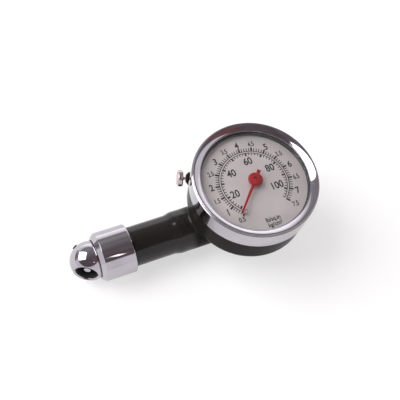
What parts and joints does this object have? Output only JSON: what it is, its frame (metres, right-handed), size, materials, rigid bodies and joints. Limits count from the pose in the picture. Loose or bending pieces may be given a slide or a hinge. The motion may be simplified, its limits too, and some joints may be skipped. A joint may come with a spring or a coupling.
{
  "type": "tire pressure gauge",
  "caption": "Pocket dial gauge for tire pressure: round chromed head on a black handle with a swivelling ball chuck and a side release button.",
  "frame": {"origin": "middle of the flat pad on the back, straight below the centre of the dial", "axes": "+Z out of the dial's face, -X along the handle to the chuck, +Y towards the release button's side"},
  "size_m": [0.1012, 0.051, 0.04],
  "materials": {
    "chrome": "bright polished chrome plate with fine wiping marks",
    "black_gloss": "black gloss paint on a zinc casting, slightly uneven",
    "lens_clear": "clear moulded acrylic, shallow dome",
    "black_rubber": "matt black rubber",
    "dial_silver": "satin silver dial, fine even grain",
    "dial_print": "black printed scale",
    "pointer_red": "satin red paint",
    "nickel": "warm nickel plate",
    "steel": "plain steel",
    "brass": "machined brass"
  },
  "bodies": {
    "gauge_body": {"case_body": "black_gloss", "bezel_ring": "chrome", "lens": "lens_clear", "lens_gasket": "black_rubber", "dial_plate": "dial_silver", "stop_pin": "nickel", "movement_back_plate": "brass", "movement_front_plate": "brass", "pillar_1": "brass", "pillar_2": "brass", "pillar_3": "brass", "plate_screw_1": "steel", "plate_screw_2": "steel", "plate_screw_3": "steel", "hairspring": "steel", "socket_block": "brass", "socket_screw_1": "steel", "socket_screw_2": "steel", "bourdon_tube": "brass", "release_bush": "black_gloss", "release_spring": "steel", "pressure_tube": "brass", "check_valve_body": "brass", "check_valve_spring": "steel", "collar_nut": "chrome", "swivel_washer": "black_rubber"},
    "pointer_shaft": {"pointer": "pointer_red", "pinion_arbor": "steel"},
    "sector": {"sector_gear": "brass"},
    "link": {"movement_link": "steel"},
    "tube_end": {"tube_tip": "brass"},
    "button": {"release_button": "nickel", "release_seal": "black_rubber"},
    "poppet": {"check_valve_poppet": "black_rubber"},
    "chuck": {"chuck_ball": "chrome", "chuck_seal": "black_rubber", "core_depressor": "chrome", "deflator_nub": "steel"}
  },
  "joints": [
    {"name": "sector_turn", "type": "hinge", "parent": "gauge_body", "child": "sector", "pos_m": [0.0055, -0.00953, 0.0246], "axis": [0, 0, 1], "range_deg": [0, 30.67]},
    {"name": "pointer_turn", "type": "hinge", "parent": "gauge_body", "child": "pointer_shaft", "pos_m": [0, 0, 0.0351], "axis": [0, 0, -1], "range_deg": [0, 276.02]},
    {"name": "link_turn", "type": "hinge", "parent": "sector", "child": "link", "pos_m": [0.00229, -0.01336, 0.0258], "axis": [0, 0, 1], "range_deg": [-23.2, 0]},
    {"name": "tube_tip_shift", "type": "slide", "parent": "gauge_body", "child": "tube_end", "axis": [0.769, -0.6392, 0], "range_m": [0, 0.00342], "deforming": ["bourdon_tube"]},
    {"name": "release_press", "type": "slide", "parent": "gauge_body", "child": "button", "axis": [0.9336, -0.3584, 0], "range_m": [0, 0.0011], "stiffness_N_per_m": 500, "deforming": ["release_spring"]},
    {"name": "poppet_lift", "type": "slide", "parent": "gauge_body", "child": "poppet", "axis": [1, 0, 0], "range_m": [0, 0.0008], "stiffness_N_per_m": 100, "deforming": ["check_valve_spring"]},
    {"name": "chuck_swivel", "type": "hinge", "parent": "gauge_body", "child": "chuck", "pos_m": [-0.0677, 0, 0.0101], "axis": [1, 0, 0], "continuous": true}
  ],
  "couplings": [
    {"joint": "pointer_turn", "follows": "sector_turn", "ratio": 9},
    {"joint": "link_turn", "follows": "sector_turn", "ratio": -0.7493},
    {"joint": "tube_tip_shift", "follows": "sector_turn", "m_per_rad": 0.006375}
  ]
}
